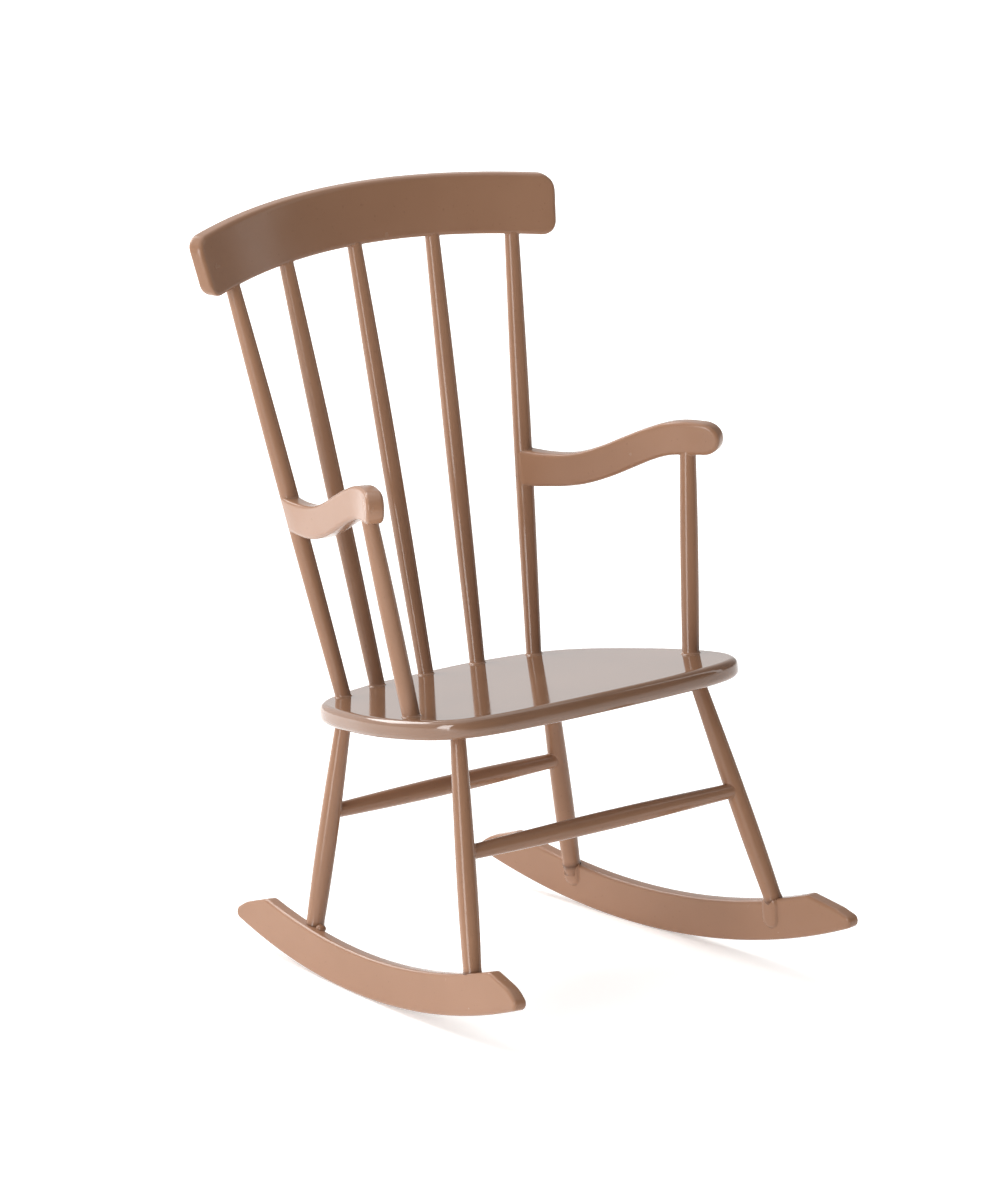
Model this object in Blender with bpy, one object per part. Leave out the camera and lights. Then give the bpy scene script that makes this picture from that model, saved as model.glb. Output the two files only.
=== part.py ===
"""Miniature rocking chair. Metres, +Z up, floor at z = 0, front towards -Y, sitter's right at -X.

The chair stands in the pose it rests in: tipped back until its weight is over the rockers' lowest point.
"""

import math

import bmesh
import bpy
from mathutils import Matrix, Vector

MM = 0.001
GAP = 0.3 * MM
SEGMENTS = 20

# Offset that puts the middle of the chair's depth, not the rockers' lowest point, at y = 0.
ORIGIN_Y = 5.3 * MM

SEAT_Z = 45.75 * MM
SEAT_TILT = math.radians(9.4)
SEAT_T = 3.2 * MM
SEAT_ROUND = 1.0 * MM
SEAT_OUTLINE = (
    (0, -30.8), (14, -30.3), (24.2, -28.6), (29.8, -24.6), (32.3, -16.5),
    (31.2, -3), (25.1, 13.5), (12, 19.9), (0, 20.5)
)
SEAT_MIDDLE_SCALE = 0.5

TENON_R = 0.65 * MM
TENON_L = 1.0 * MM

# Each back rod: x and y of its foot on the seat, then the point where it meets the crest rail.
BACK_OUTER = (19.6, 14.0), (28.5, 30.5, 108.8)
BACK_INNER = (10.3, 17.0), (14.9, 34.1, 109.8)
BACK_CENTRE = (0, 17.4), (0, 35.4, 110.2)
# Radii of the rods at their foot, middle and head.
BACK_RADII = (1.25 * MM, 1.5 * MM, 1.18 * MM)
ARM_POST_RADII = (1.4 * MM, 1.48 * MM, 1.3 * MM)
ARM_POST = (28.6, -14.4), (32.4, -9.0, 79.0)

LEG_FRONT_TOP = (24.4, -20.2)
LEG_REAR_TOP = (20.8, 12.8)
LEG_FRONT_FOOT_Y = -32.3 * MM
LEG_REAR_FOOT_Y = 12.9 * MM
LEG_FRONT_INSET = 0.4 * MM
LEG_REAR_INSET = 1.2 * MM
FOOT_DEPTH = 4.4 * MM
FOOT_R = 1.0 * MM
LEG_END_R = 1.22 * MM
LEG_MID_R = 1.6 * MM
STRETCHER_RADII = (1.2 * MM, 1.55 * MM, 1.2 * MM)
STRETCHER_FRONT_Z = 28.4 * MM
STRETCHER_REAR_Z = 25.4 * MM

ROCKER_R = 127.5 * MM
ROCKER_H = 6.65 * MM
ROCKER_T = 2.4 * MM
ROCKER_X = 29.2 * MM
ROCKER_TOE = math.radians(4.8)
ROCKER_LEAN = math.radians(3.2)
ROCKER_STEP = 1.5
# End cuts of each rocker, front then back: angle from the lowest point, in degrees, of the upper corner,
# of a point part way down the cut and of the lower corner. The left rocker is cut a little longer.
ROCKER_ENDS = {
    "right": ((-18.7, -20.9, -21.8), (11.4, 13.9, 15.4)),
    "left": ((-19.6, -22.2, -24.0), (12.6, 15.0, 16.4)),
}
ROCKER_CUT_H = 3.4 * MM
ROCKER_EDGE = 0.5 * MM

CREST_Y = 35.5 * MM
CREST_Z = 110.2 * MM
CREST_R = 83.7 * MM
CREST_ARCH = 1.7
CREST_LEAN = math.radians(14.3)
CREST_H = 9.75 * MM
CREST_T = 2.5 * MM
CREST_HALF = 36.1 * MM
# The rail widens upwards with the fan of the back rods.
CREST_FAN = 4.2
CREST_CORNER = 2.4 * MM

ARM_T = 2.8 * MM
ARM_BACK = (23.6 * MM, 21.3 * MM)
ARM_FLARE = math.radians(16.2)
ARM_CURL_START = 27.0 * MM
ARM_CURL = 1.3 * MM
ARM_LENGTH = 37.0 * MM
# Lower and upper edge of the arm plate: distance ahead of the back post, height above the floor.
ARM_EDGES = (
    ((-0.7, 69.8), (-2.0, 75.4)),
    ((0.9, 69.8), (-0.3, 75.4)),
    ((4.3, 70.1), (3.9, 75.5)),
    ((8.6, 70.7), (8.2, 76.0)),
    ((12.9, 71.8), (12.0, 77.0)),
    ((17.4, 73.6), (16.2, 78.8)),
    ((21.4, 75.6), (20.0, 80.7)),
    ((25.0, 77.4), (23.8, 82.5)),
    ((28.3, 78.7), (27.4, 83.9)),
    ((31.2, 79.2), (30.8, 84.6)),
    ((34.0, 79.5), (33.9, 84.7)),
    ((35.3, 79.7), (35.4, 84.5)),
    ((36.3, 80.4), (36.4, 83.8)),
    ((36.9, 81.2), (36.9, 83.0)),
    ((37.0, 81.8), (37.1, 82.4)),
)
WAIST_R = 0.75 * MM

EDGE_R = 0.45 * MM
SIDES = (("right", -1), ("left", 1))


def clear():
    for obj in list(bpy.data.objects):
        bpy.data.objects.remove(obj, do_unlink=True)


def lacquer(name, shade=1.0):
    mat = bpy.data.materials.new(name)
    mat.use_nodes = True
    bsdf = mat.node_tree.nodes["Principled BSDF"]
    bsdf.inputs["Base Color"].default_value = (0.37 * shade, 0.21 * shade, 0.13 * shade, 1)
    bsdf.inputs["Roughness"].default_value = 0.3
    bsdf.inputs["Metallic"].default_value = 0.1
    return mat


def seat_height(y):
    return SEAT_Z - math.tan(SEAT_TILT) * y


def new_object(name, verts, faces, smooth=False):
    mesh = bpy.data.meshes.new(name)
    mesh.from_pydata(verts, [], faces)
    bm = bmesh.new()
    bm.from_mesh(mesh)
    bmesh.ops.recalc_face_normals(bm, faces=bm.faces)
    bm.to_mesh(mesh)
    bm.free()
    obj = bpy.data.objects.new(name, mesh)
    bpy.context.collection.objects.link(obj)
    if smooth:
        mesh.shade_smooth()
        mesh.set_sharp_from_angle(angle=math.radians(40))
    return obj


def skin(rings):
    """Quads between successive closed rings, with an n-gon on the first and the last."""
    count = len(rings[0])
    verts = [p for ring in rings for p in ring]
    faces = [tuple(range(count)), tuple(range(len(verts) - count, len(verts)))]
    for i in range(len(rings) - 1):
        low = i * count
        for j in range(count):
            k = (j + 1) % count
            faces.append((low + j, low + k, low + count + k, low + count + j))
    return verts, faces


def lathe(name, profile, segments=SEGMENTS):
    """Solid of revolution about local Z from (height, radius) pairs."""
    rings = []
    for height, radius in profile:
        turn = [2 * math.pi * k / segments for k in range(segments)]
        rings.append([(radius * math.cos(a), radius * math.sin(a), height) for a in turn])
    return new_object(name, *skin(rings), smooth=True)


def aim(obj, start, end):
    obj.location = start
    obj.rotation_euler = (end - start).to_track_quat("Z", "Y").to_euler()


def turned(length, r_start, r_mid, r_end, mid=0.5, steps=6):
    """Radii of a gently swelling rod between its two shoulders."""
    rows = []
    for i in range(steps + 1):
        t = i / steps
        near = t / mid if t < mid else (1 - t) / (1 - mid)
        swell = math.sin(near * math.pi / 2)
        end = r_start if t < mid else r_end
        rows.append((t * length, end + (r_mid - end) * swell))
    return rows


def tenoned(body, length, start=True, end=True):
    """Adds a reduced tenon to either end of a turned profile."""
    rows = list(body)
    if start:
        rows = [(-TENON_L, TENON_R), (0, TENON_R)] + rows
    if end:
        rows = rows + [(length, TENON_R), (length + TENON_L, TENON_R)]
    return rows


def rod(name, foot, head, radii, mid=0.5, start=True, end=True):
    length = (head - foot).length
    obj = lathe(name, tenoned(turned(length, *radii, mid=mid), length, start, end))
    aim(obj, foot, head)
    return obj


def cut(obj, cutter):
    cutter.hide_render = True
    cutter.display_type = "WIRE"
    mod = obj.modifiers.new("cut_" + cutter.name, "BOOLEAN")
    mod.operation = "DIFFERENCE"
    mod.solver = "EXACT"
    mod.object = cutter


def socket(obj, name, mouth, direction, depth=TENON_L + GAP, radius=TENON_R + GAP):
    """Blind round hole in obj, from just above its mouth down along direction."""
    back = 1.5 * MM
    cutter = lathe(name, [(-back, radius), (depth, radius)], 16)
    aim(cutter, mouth, mouth + direction)
    cut(obj, cutter)


def spline(points, per_span):
    """Closed Catmull-Rom curve through the points."""
    out = []
    n = len(points)
    for i in range(n):
        p0, p1, p2, p3 = (Vector(points[(i + k) % n]) for k in (-1, 0, 1, 2))
        for step in range(per_span):
            t = step / per_span
            near = 2 * p1 + (p2 - p0) * t
            far = (2 * p0 - 5 * p1 + 4 * p2 - p3) * t * t + (3 * p1 - p0 - 3 * p2 + p3) * t ** 3
            out.append((near + far) / 2)
    return out


def inset(outline, amount):
    """Moves each outline point inwards along the local normal."""
    out = []
    n = len(outline)
    for i, p in enumerate(outline):
        along = (outline[(i + 1) % n] - outline[i - 1]).normalized()
        out.append(p + Vector((-along.y, along.x)) * amount)
    return out


def on_seat(xy):
    y = xy[1] * MM
    return Vector((xy[0] * MM, y + ORIGIN_Y, seat_height(y)))


def under_seat(xy):
    normal = Vector((0, math.sin(SEAT_TILT), math.cos(SEAT_TILT)))
    return on_seat(xy) - normal * SEAT_T


def world(x, y, z):
    return Vector((x * MM, y * MM + ORIGIN_Y, z * MM))


def slab(name, outline, thickness, edge, middle=None, steps=4):
    """Plate with rounded edges, its top at local z = 0. middle scales an inner top face."""
    rings = []
    if middle:
        rings.append([(p.x * middle, p.y * middle, 0) for p in outline])
    for i in range(steps + 1):
        a = math.radians(90 * i / steps)
        rim = inset(outline, edge * (1 - math.sin(a)))
        rings.append([(p.x, p.y, -edge * (1 - math.cos(a))) for p in rim])
    for i in range(steps + 1):
        a = math.radians(90 * i / steps)
        rim = inset(outline, edge * (1 - math.cos(a)))
        rings.append([(p.x, p.y, -thickness + edge * (1 - math.sin(a))) for p in rim])
    return new_object(name, *skin(rings), smooth=True)


def build_seat():
    half = [Vector(p) * MM for p in SEAT_OUTLINE]
    mirrored = [Vector((-p.x, p.y)) for p in reversed(half[1:-1])]
    outline = spline(half + mirrored, 4)
    obj = slab("seat", outline, SEAT_T, SEAT_ROUND, SEAT_MIDDLE_SCALE)
    obj.location = (0, ORIGIN_Y, SEAT_Z)
    obj.rotation_euler = (-SEAT_TILT, 0, 0)
    return obj


def plate(name, stations, half_t, edge=EDGE_R):
    """Flat bar with softened edges. A station is its lower and upper points and its side direction."""
    rings = []
    for low, high, side in stations:
        up = (high - low).normalized()
        half_h = (high - low).length / 2
        r = min(edge, half_h * 0.8)
        centre = (low + high) / 2
        ring = []
        for sx, sz, first in ((1, 1, 0), (-1, 1, 90), (-1, -1, 180), (1, -1, 270)):
            for step in (0, 45, 90):
                a = math.radians(first + step)
                across = sx * (half_t - r) + r * math.cos(a)
                along = sz * (half_h - r) + r * math.sin(a)
                ring.append(tuple(centre + side * across + up * along))
        rings.append(ring)
    return new_object(name, *skin(rings), smooth=True)


def crest_point(x, rise):
    y = CREST_Y - x * x / (2 * CREST_R) + rise * math.sin(CREST_LEAN)
    z = CREST_Z - CREST_ARCH * x * x + rise * math.cos(CREST_LEAN)
    fan = 1 + CREST_FAN * (rise - CREST_H / 2)
    return Vector((x * fan, y + ORIGIN_Y, z))


def build_crest():
    straight = CREST_HALF - CREST_CORNER
    inner = [straight * k / 10 for k in range(-10, 11)]
    corner = [straight + CREST_CORNER * math.sin(math.radians(a)) for a in (25, 45, 62, 77, 88)]
    stations = []
    for x in [-c for c in reversed(corner)] + inner + corner:
        over = max(abs(x) - straight, 0)
        drop = CREST_CORNER - math.sqrt(CREST_CORNER ** 2 - over ** 2)
        side = Vector((x / CREST_R, 1, 0)).normalized()
        stations.append((crest_point(x, drop), crest_point(x, CREST_H - drop), side))
    return plate("crest_rail", stations, CREST_T / 2)


def arm_point(sign, ahead, height):
    over = max(ahead - ARM_CURL_START, 0) / (ARM_LENGTH - ARM_CURL_START)
    curl = ARM_CURL * over ** 2
    x = ARM_BACK[0] + ahead * math.sin(ARM_FLARE) + curl * math.cos(ARM_FLARE)
    y = ARM_BACK[1] - ahead * math.cos(ARM_FLARE) + curl * math.sin(ARM_FLARE)
    return Vector((sign * x, y + ORIGIN_Y, height))


def build_arm(label, sign):
    stations = []
    for low, high in ARM_EDGES:
        ahead = (low[0] + high[0]) / 2 * MM
        along = arm_point(sign, ahead + 0.5 * MM, 0) - arm_point(sign, ahead - 0.5 * MM, 0)
        side = Vector((-along.y, along.x, 0)).normalized()
        ends = [arm_point(sign, p[0] * MM, p[1] * MM) for p in (low, high)]
        stations.append((*ends, side))
    return plate("arm_" + label, stations, ARM_T / 2)


def rocker_matrix(sign):
    """Local X runs forwards along the rocker, local Y up and local Z towards the sitter's right."""
    axes = Matrix(((0, 0, -1), (-1, 0, 0), (0, 1, 0))).to_4x4()
    lean = Matrix.Rotation(-sign * ROCKER_LEAN, 4, "Y")
    toe = Matrix.Rotation(sign * ROCKER_TOE, 4, "Z")
    rise = (ROCKER_T / 2 - ROCKER_EDGE) * math.sin(ROCKER_LEAN)
    rise -= ROCKER_R * (1 - math.cos(math.radians(ROCKER_STEP / 2)))
    return Matrix.Translation((sign * ROCKER_X, ORIGIN_Y, rise)) @ toe @ lean @ axes


def rocker_point(degrees, height):
    """Point at an angle from the lowest point and a height above the lower arc, front positive."""
    a = math.radians(-degrees)
    radius = ROCKER_R - height
    return Vector((radius * math.sin(a), ROCKER_R - radius * math.cos(a)))


def rounded(corner, before, after, radius):
    """Arc that rounds off the corner between two neighbours."""
    a = (before - corner).normalized()
    b = (after - corner).normalized()
    half = math.acos(max(-1, min(1, a.dot(b)))) / 2
    centre = corner + (a + b).normalized() * radius / math.sin(half)
    start = corner + a * radius / math.tan(half)
    end = corner + b * radius / math.tan(half)
    out = []
    for t in (0, 0.25, 0.5, 0.75, 1):
        spoke = (start - centre).lerp(end - centre, t)
        out.append(centre + spoke.normalized() * radius)
    return out


def rocker_arc(start, end, height):
    """Points every few degrees along an arc, clear of both ends, flat across the lowest point."""
    low, high = sorted((start, end))
    first = math.ceil((low + 0.6) / ROCKER_STEP) * ROCKER_STEP + ROCKER_STEP / 2
    out = []
    while first < high - 1.3:
        out.append(rocker_point(first, height))
        first += ROCKER_STEP
    return out if start < end else out[::-1]


def build_rocker(label, sign):
    front, back = ROCKER_ENDS[label]
    lower = rocker_arc(back[2], front[2], 0)
    upper = rocker_arc(front[0], back[0], ROCKER_H)
    corners = []
    for top, middle, bottom in (front, back):
        heights = (ROCKER_H, ROCKER_CUT_H, 0)
        corners.append([rocker_point(angle, height) for angle, height in zip((top, middle, bottom), heights)])
    (f_top, f_mid, f_low), (b_top, b_mid, b_low) = corners
    outline = lower
    outline = outline + rounded(f_low, lower[-1], f_mid, 1.1 * MM)
    outline = outline + rounded(f_mid, f_low, f_top, 7 * MM)
    outline = outline + rounded(f_top, f_mid, upper[0], 1.6 * MM) + upper
    outline = outline + rounded(b_top, upper[-1], b_mid, 2.2 * MM)
    outline = outline + rounded(b_mid, b_top, b_low, 7 * MM)
    outline = outline + rounded(b_low, b_mid, lower[0], 1.1 * MM)
    obj = slab("rocker_" + label, outline, ROCKER_T, ROCKER_EDGE, steps=2)
    obj.matrix_world = rocker_matrix(sign) @ Matrix.Translation((0, 0, ROCKER_T / 2))
    return obj


def foot_point(sign, y, inset_x):
    """Point on the rocker's upper edge, moved inboard, at distance y along it."""
    inner = ROCKER_R - ROCKER_H
    height = ROCKER_R - math.sqrt(inner ** 2 - y ** 2)
    return rocker_matrix(sign) @ Vector((-y, height, sign * inset_x))


def build_leg(place, label, sign):
    front = place == "front"
    top_xy = LEG_FRONT_TOP if front else LEG_REAR_TOP
    y, inset_x = (LEG_FRONT_FOOT_Y, LEG_FRONT_INSET) if front else (LEG_REAR_FOOT_Y, LEG_REAR_INSET)
    top = under_seat((sign * top_xy[0], top_xy[1]))
    edge = foot_point(sign, y, inset_x)
    down = (edge - top).normalized()
    head = top + down * GAP
    foot = edge + down * FOOT_DEPTH
    length = (head - foot).length
    shoulder = FOOT_DEPTH + 0.4 * MM
    toe = [(0, 0.35), (0.15, 0.68), (0.5, 0.92), (1.0, 1.0)]
    rows = [(z * MM, r * FOOT_R) for z, r in toe] + [(shoulder, FOOT_R)]
    turning = turned(length - shoulder, LEG_END_R, LEG_MID_R, LEG_END_R, mid=0.4, steps=8)
    rows += [(shoulder + z, r) for z, r in turning]
    rows += [(length, TENON_R), (length + TENON_L, TENON_R)]
    leg = lathe(f"leg_{place}_{label}", rows)
    aim(leg, foot, head)
    return leg, top, edge, down


def foot_pocket(rocker, name, edge, down):
    cutter = lathe(name, [(-3 * MM, FOOT_R + GAP), (FOOT_DEPTH + GAP, FOOT_R + GAP)])
    aim(cutter, edge, edge + down)
    cut(rocker, cutter)


def build_stretcher(place, height, legs):
    """Cross rod between two legs, each given as its object, seat end and rocker end."""
    ends = []
    for leg, top, edge in legs:
        t = (top.z - height) / (top.z - edge.z)
        ends.append(top.lerp(edge, t))
    right, left = ends
    along = (left - right).normalized()
    reach = LEG_MID_R + GAP
    obj = rod("stretcher_" + place, right + along * reach, left - along * reach, STRETCHER_RADII)
    for (leg, _, _), end, direction in zip(legs, ends, (-along, along)):
        mouth = end - direction * (reach - GAP)
        socket(leg, f"cut_{obj.name}_{leg.name}", mouth, direction)
    return obj


def back_rod(name, sign, foot_xy, head_xyz, seat, crest):
    foot = on_seat((sign * foot_xy[0], foot_xy[1]))
    head = world(sign * head_xyz[0], head_xyz[1], head_xyz[2])
    up = (head - foot).normalized()
    obj = rod(name, foot + up * GAP, head - up * GAP, BACK_RADII)
    socket(seat, "cut_foot_" + name, foot, -up)
    socket(crest, "cut_head_" + name, head, up)
    return obj, foot, head


def waist(name, foot, head, low, high):
    """Back post with a thinner neck between two heights, where the arm's fork sits."""
    length = (head - foot).length
    neck_low, neck_high = ((z - foot.z) / (head.z - foot.z) * length for z in (low, high))
    body = turned(length, *BACK_RADII, steps=8)
    below = [row for row in body if row[0] < neck_low - 0.5 * MM]
    above = [row for row in body if row[0] > neck_high + 0.5 * MM]
    full = BACK_RADII[1] * 0.98
    neck = [(neck_low, full), (neck_low, WAIST_R), (neck_high, WAIST_R), (neck_high, full)]
    obj = lathe(name, tenoned(below + neck + above, length))
    aim(obj, foot, head)
    return obj


def outer_post(label, sign, seat, crest, arm):
    name = "back_post_" + label
    (fx, fy), (hx, hy, hz) = BACK_OUTER
    foot = on_seat((sign * fx, fy))
    head = world(sign * hx, hy, hz)
    up = (head - foot).normalized()
    low = ARM_EDGES[1][0][1] * MM - 0.5 * MM
    high = ARM_EDGES[1][1][1] * MM + 0.5 * MM
    obj = waist(name, foot + up * GAP, head - up * GAP, low, high)
    socket(seat, "cut_foot_" + name, foot, -up)
    socket(crest, "cut_head_" + name, head, up)
    fork(arm, "cut_fork_" + label, sign, foot, head)
    return obj


def fork(arm, name, sign, foot, head):
    """Slot in the arm's back end, round at the bottom and open to the rear, around the post's neck."""
    r = WAIST_R + GAP
    back = 4 * MM
    angles = [math.radians(degrees) for degrees in range(0, 181, 15)]
    outline = [Vector((r * math.cos(a), r * math.sin(a))) for a in angles]
    outline += [Vector((-r, -back)), Vector((r, -back))]
    rings = [[(p.x, p.y, z) for p in outline] for z in (-6 * MM, 6 * MM)]
    cutter = new_object(name, *skin(rings))
    mid_z = (ARM_EDGES[1][0][1] + ARM_EDGES[1][1][1]) / 2 * MM
    centre = foot.lerp(head, (mid_z - foot.z) / (head.z - foot.z))
    ahead = (arm_point(sign, 1 * MM, 0) - arm_point(sign, 0, 0)).normalized()
    up = (head - foot).normalized()
    side = ahead.cross(up).normalized()
    ahead = up.cross(side).normalized()
    turn = Matrix((side, ahead, up)).transposed().to_4x4()
    cutter.matrix_world = Matrix.Translation(centre) @ turn
    cut(arm, cutter)


def arm_post(label, sign, seat, arm):
    name = "arm_post_" + label
    (fx, fy), (hx, hy, hz) = ARM_POST
    foot = on_seat((sign * fx, fy))
    head = world(sign * hx, hy, hz)
    up = (head - foot).normalized()
    obj = rod(name, foot + up * GAP, head - up * GAP, ARM_POST_RADII)
    socket(seat, "cut_foot_" + name, foot, -up)
    socket(arm, "cut_head_" + name, head, up)
    return obj


def build():
    seat = build_seat()
    crest = build_crest()
    pieces = [seat, crest]
    legs = {}
    for label, sign in SIDES:
        arm = build_arm(label, sign)
        rocker = build_rocker(label, sign)
        pieces += [arm, rocker]
        pieces.append(outer_post(label, sign, seat, crest, arm))
        pieces.append(back_rod("back_spindle_" + label, sign, *BACK_INNER, seat, crest)[0])
        pieces.append(arm_post(label, sign, seat, arm))
        for place in ("front", "rear"):
            leg, top, edge, down = build_leg(place, label, sign)
            socket(seat, f"cut_leg_{place}_{label}", top, -down)
            foot_pocket(rocker, f"cut_pocket_{place}_{label}", edge, down)
            legs[place, label] = (leg, top, edge)
            pieces.append(leg)
    pieces.append(back_rod("back_spindle_centre", 1, *BACK_CENTRE, seat, crest)[0])
    for place, height in (("front", STRETCHER_FRONT_Z), ("rear", STRETCHER_REAR_Z)):
        pieces.append(build_stretcher(place, height, [legs[place, "right"], legs[place, "left"]]))
    for i, obj in enumerate(pieces):
        obj.data.materials.append(lacquer("lacquer_" + obj.name, 0.96 + 0.02 * (i % 4)))


clear()
build()
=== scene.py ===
"""Looks for the miniature rocking chair: lacquered metal, fused by its paint at every joint."""

import math

import bmesh
import bpy
import numpy as np
from mathutils import Matrix, Vector
from mathutils.bvhtree import BVHTree


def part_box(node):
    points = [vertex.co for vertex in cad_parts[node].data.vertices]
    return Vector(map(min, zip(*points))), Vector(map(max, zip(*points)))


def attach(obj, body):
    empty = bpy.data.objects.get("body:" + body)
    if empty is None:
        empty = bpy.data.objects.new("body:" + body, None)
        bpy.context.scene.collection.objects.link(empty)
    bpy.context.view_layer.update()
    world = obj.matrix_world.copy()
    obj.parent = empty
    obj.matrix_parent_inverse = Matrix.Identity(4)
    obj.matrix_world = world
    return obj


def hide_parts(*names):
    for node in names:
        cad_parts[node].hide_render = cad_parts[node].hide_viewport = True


MM = 0.001
TURN = 48
SIDES = (("right", -1), ("left", 1))
BODY = "root"

# Fillets of paint where a rod meets its neighbour, and how far their outer ring sinks into it
FILLET = 0.42 * MM
CREST_FILLET = 0.22 * MM
ARM_FILLET = 0.25 * MM
LEG_FILLET = FILLET * 0.7
STRETCHER_FILLET = FILLET * 0.8
SUNK = 0.03 * MM
FILLET_STEPS = 6
FILLET_ROOT_DEPTH = 0.3 * MM
FILLET_ROOT_SHARE = 0.45
# Darkening at a fillet's root: partly paint pooling, partly painted shade in the crevice
FILLET_POOLING_AND_SHADE = 0.85

# A rod's end follows a smooth saddle fitted to where its skin meets its neighbour: strays from the middle and
# outliers from the saddle are left out of the fit, and every point is brought to within the slack of it
LEVEL_STRAY = 1.3 * MM
LEVEL_OUTLIER = 0.3 * MM
LEVEL_SLACK = 0.12 * MM

# Flat border inside a plate's rounded edge, which keeps the shading of its faces true
FLAT_MARGIN = 0.12 * MM

SEAT_TILT = math.radians(9.4)
SEAT_T = 3.2 * MM
SEAT_ROUND = 1.15 * MM
# Half the seat's outline in millimetres, from the middle of its front to the middle of its back
SEAT_OUTLINE = (
    (0, -30.8), (14, -30.3), (24.2, -28.6), (29.8, -24.6), (32.3, -16.5),
    (31.2, -3), (25.1, 13.5), (12, 19.9), (0, 20.5),
)

# Radii of each rod at its foot, where it is fullest, and at its head
BACK_RADII = (1.25 * MM, 1.5 * MM, 1.18 * MM)
ARM_POST_RADII = (1.4 * MM, 1.48 * MM, 1.3 * MM)
LEG_RADII = (1.3 * MM, 1.62 * MM, 1.22 * MM)
LEG_MID = 0.4
STRETCHER_RADII = (1.2 * MM, 1.55 * MM, 1.2 * MM)

ROCKER_R = 127.5 * MM
ROCKER_H = 6.65 * MM
ROCKER_T = 2.4 * MM
ROCKER_X = 29.2 * MM
ROCKER_TOE = math.radians(4.8)
ROCKER_LEAN = math.radians(3.2)
# Degrees round the arc's centre of the top, middle and bottom corner of the front end, then of the back end
ROCKER_ENDS = {
    "right": ((-18.7, -20.9, -21.8), (11.4, 13.9, 15.4)),
    "left": ((-19.6, -22.2, -24.0), (12.6, 15.0, 16.4)),
}
ROCKER_CUT_H = 3.4 * MM
ROCKER_EDGE = 0.55 * MM
ROCKER_TIP_R = 1.1 * MM
ROCKER_NOSE_R = 7 * MM
ROCKER_FRONT_TOP_R = 1.6 * MM
ROCKER_BACK_TOP_R = 2.2 * MM
# Degrees by which the long arcs stop short of their corners
ROCKER_CLEAR_BELOW = 1.7
ROCKER_CLEAR_ABOVE = 0.9

CREST_R = 83.7 * MM
CREST_ARCH = 1.7
CREST_LEAN = math.radians(14.3)
CREST_H = 9.75 * MM
CREST_T = 2.5 * MM
CREST_HALF = 36.1 * MM
CREST_FAN = 4.2
CREST_CORNER = 2.4 * MM
CREST_EDGE = 0.7 * MM
CREST_THINNING = 0.9

ORIGIN_Y = 5.3 * MM
ARM_T = 2.9 * MM
ARM_EDGE = 0.6 * MM
ARM_BACK = (23.6 * MM, 21.3 * MM)
ARM_FLARE = math.radians(16.2)
ARM_CURL_START = 27.0 * MM
ARM_CURL = 1.3 * MM
ARM_LENGTH = 37.0 * MM
ARM_HEEL_R = 1.42 * MM
ARM_HEEL_HALF = 1.6 * MM
ARM_MID_Z = 72.6 * MM
ARM_STEP = 0.5 * MM
# Slopes of the back post where it passes the arm, and how far along the arm its lean and fullness fade out
POST_RAKE = -0.204
POST_LEAN = 0.201
POST_FADE = 9 * MM
HEEL_FADE = 7 * MM
ARM_NOSE_FROM = 34.1
ARM_NOSE = (2.95, 2.6)
ARM_NOSE_Z = 82.1
ARM_HEEL_CORNER = 0.5 * MM
# Lower and upper edge of the arm seen from the side: millimetres ahead of the back post, and above the floor
ARM_EDGES = (
    ((0.9, 69.8), (-0.3, 75.4)),
    ((4.3, 70.1), (3.9, 75.5)),
    ((8.6, 70.7), (8.2, 76.0)),
    ((12.9, 71.8), (12.0, 77.0)),
    ((17.4, 73.6), (16.2, 78.8)),
    ((21.4, 75.6), (20.0, 80.7)),
    ((25.0, 77.4), (23.8, 82.5)),
    ((28.3, 78.7), (27.4, 83.9)),
    ((31.2, 79.2), (30.8, 84.6)),
    ((34.0, 79.5), (33.9, 84.7)),
)

PAD_R = 1.58 * MM
PAD_H = 0.55 * MM
PAD_DEPTH = {"front": 3.0 * MM, "rear": 2.2 * MM}
PAD_TOP_DROP = 0.9 * MM
# Radius and height of the pad's rings, as shares of PAD_R and PAD_H
PAD_PROFILE = (
    (1.14, -0.8), (1.14, -0.05), (1.06, 0.08), (1.0, 0.35),
    (0.92, 0.65), (0.78, 0.87), (0.5, 0.98), (0.2, 1.0),
)

# Collar of paint where a leg passes the rocker's upper edge: millimetres above its foot, flare, and darkening
# (paint pooling there and painted shade in the crevice)
LEG_COLLAR = (
    (2.6, 0, 0.0), (3.6, 0, 0.2), (4.0, 0.02, 0.7), (4.2, 0.08, 1.0),
    (4.4, 0.1, 0.75), (4.6, 0.04, 0.3), (5.1, 0, 0),
)
LEG_BODY_FROM = 5.6 * MM

# Lump of paint beside the foot of the right rear leg
BEAD_NODE = "leg_rear_right"
BEAD_OFFSET = (-0.6, -2.2, -0.1)
BEAD_R = 0.85 * MM
BEAD_FLAT = 0.8
# How much the lump is darkened, on the same scale as the paint pooling and painted shade at the joints
BEAD_DARKENING = 0.25

# Run of the back post inside the arm, a hair thinner than the post
CORE_RISE = 2.8 * MM
CORE_HALF = 3.6 * MM
CORE_RINGS = 9
CORE_SLACK = 0.008 * MM

# Name, tint, roughness, strength of the slow bump and index of refraction of each kind of piece's paint
PLATE_LACQUER = ("lacquer_plates", 1.0, 0.22, 0.02, 1.38)
ROD_LACQUER = ("lacquer_rods", 0.97, 0.15, 0.03, 1.38)
# The seat's lower tint darkens the chair's one lacquer: painted shade for the little light falling on its top
SHADED_SEAT_LACQUER = ("lacquer_seat_shaded", 0.72, 0.08, 0.01, 1.62)
PAINT_TONES = ((0.3, (0.262, 0.139, 0.082)), (0.5, (0.276, 0.147, 0.088)), (0.7, (0.292, 0.158, 0.096)))
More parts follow.
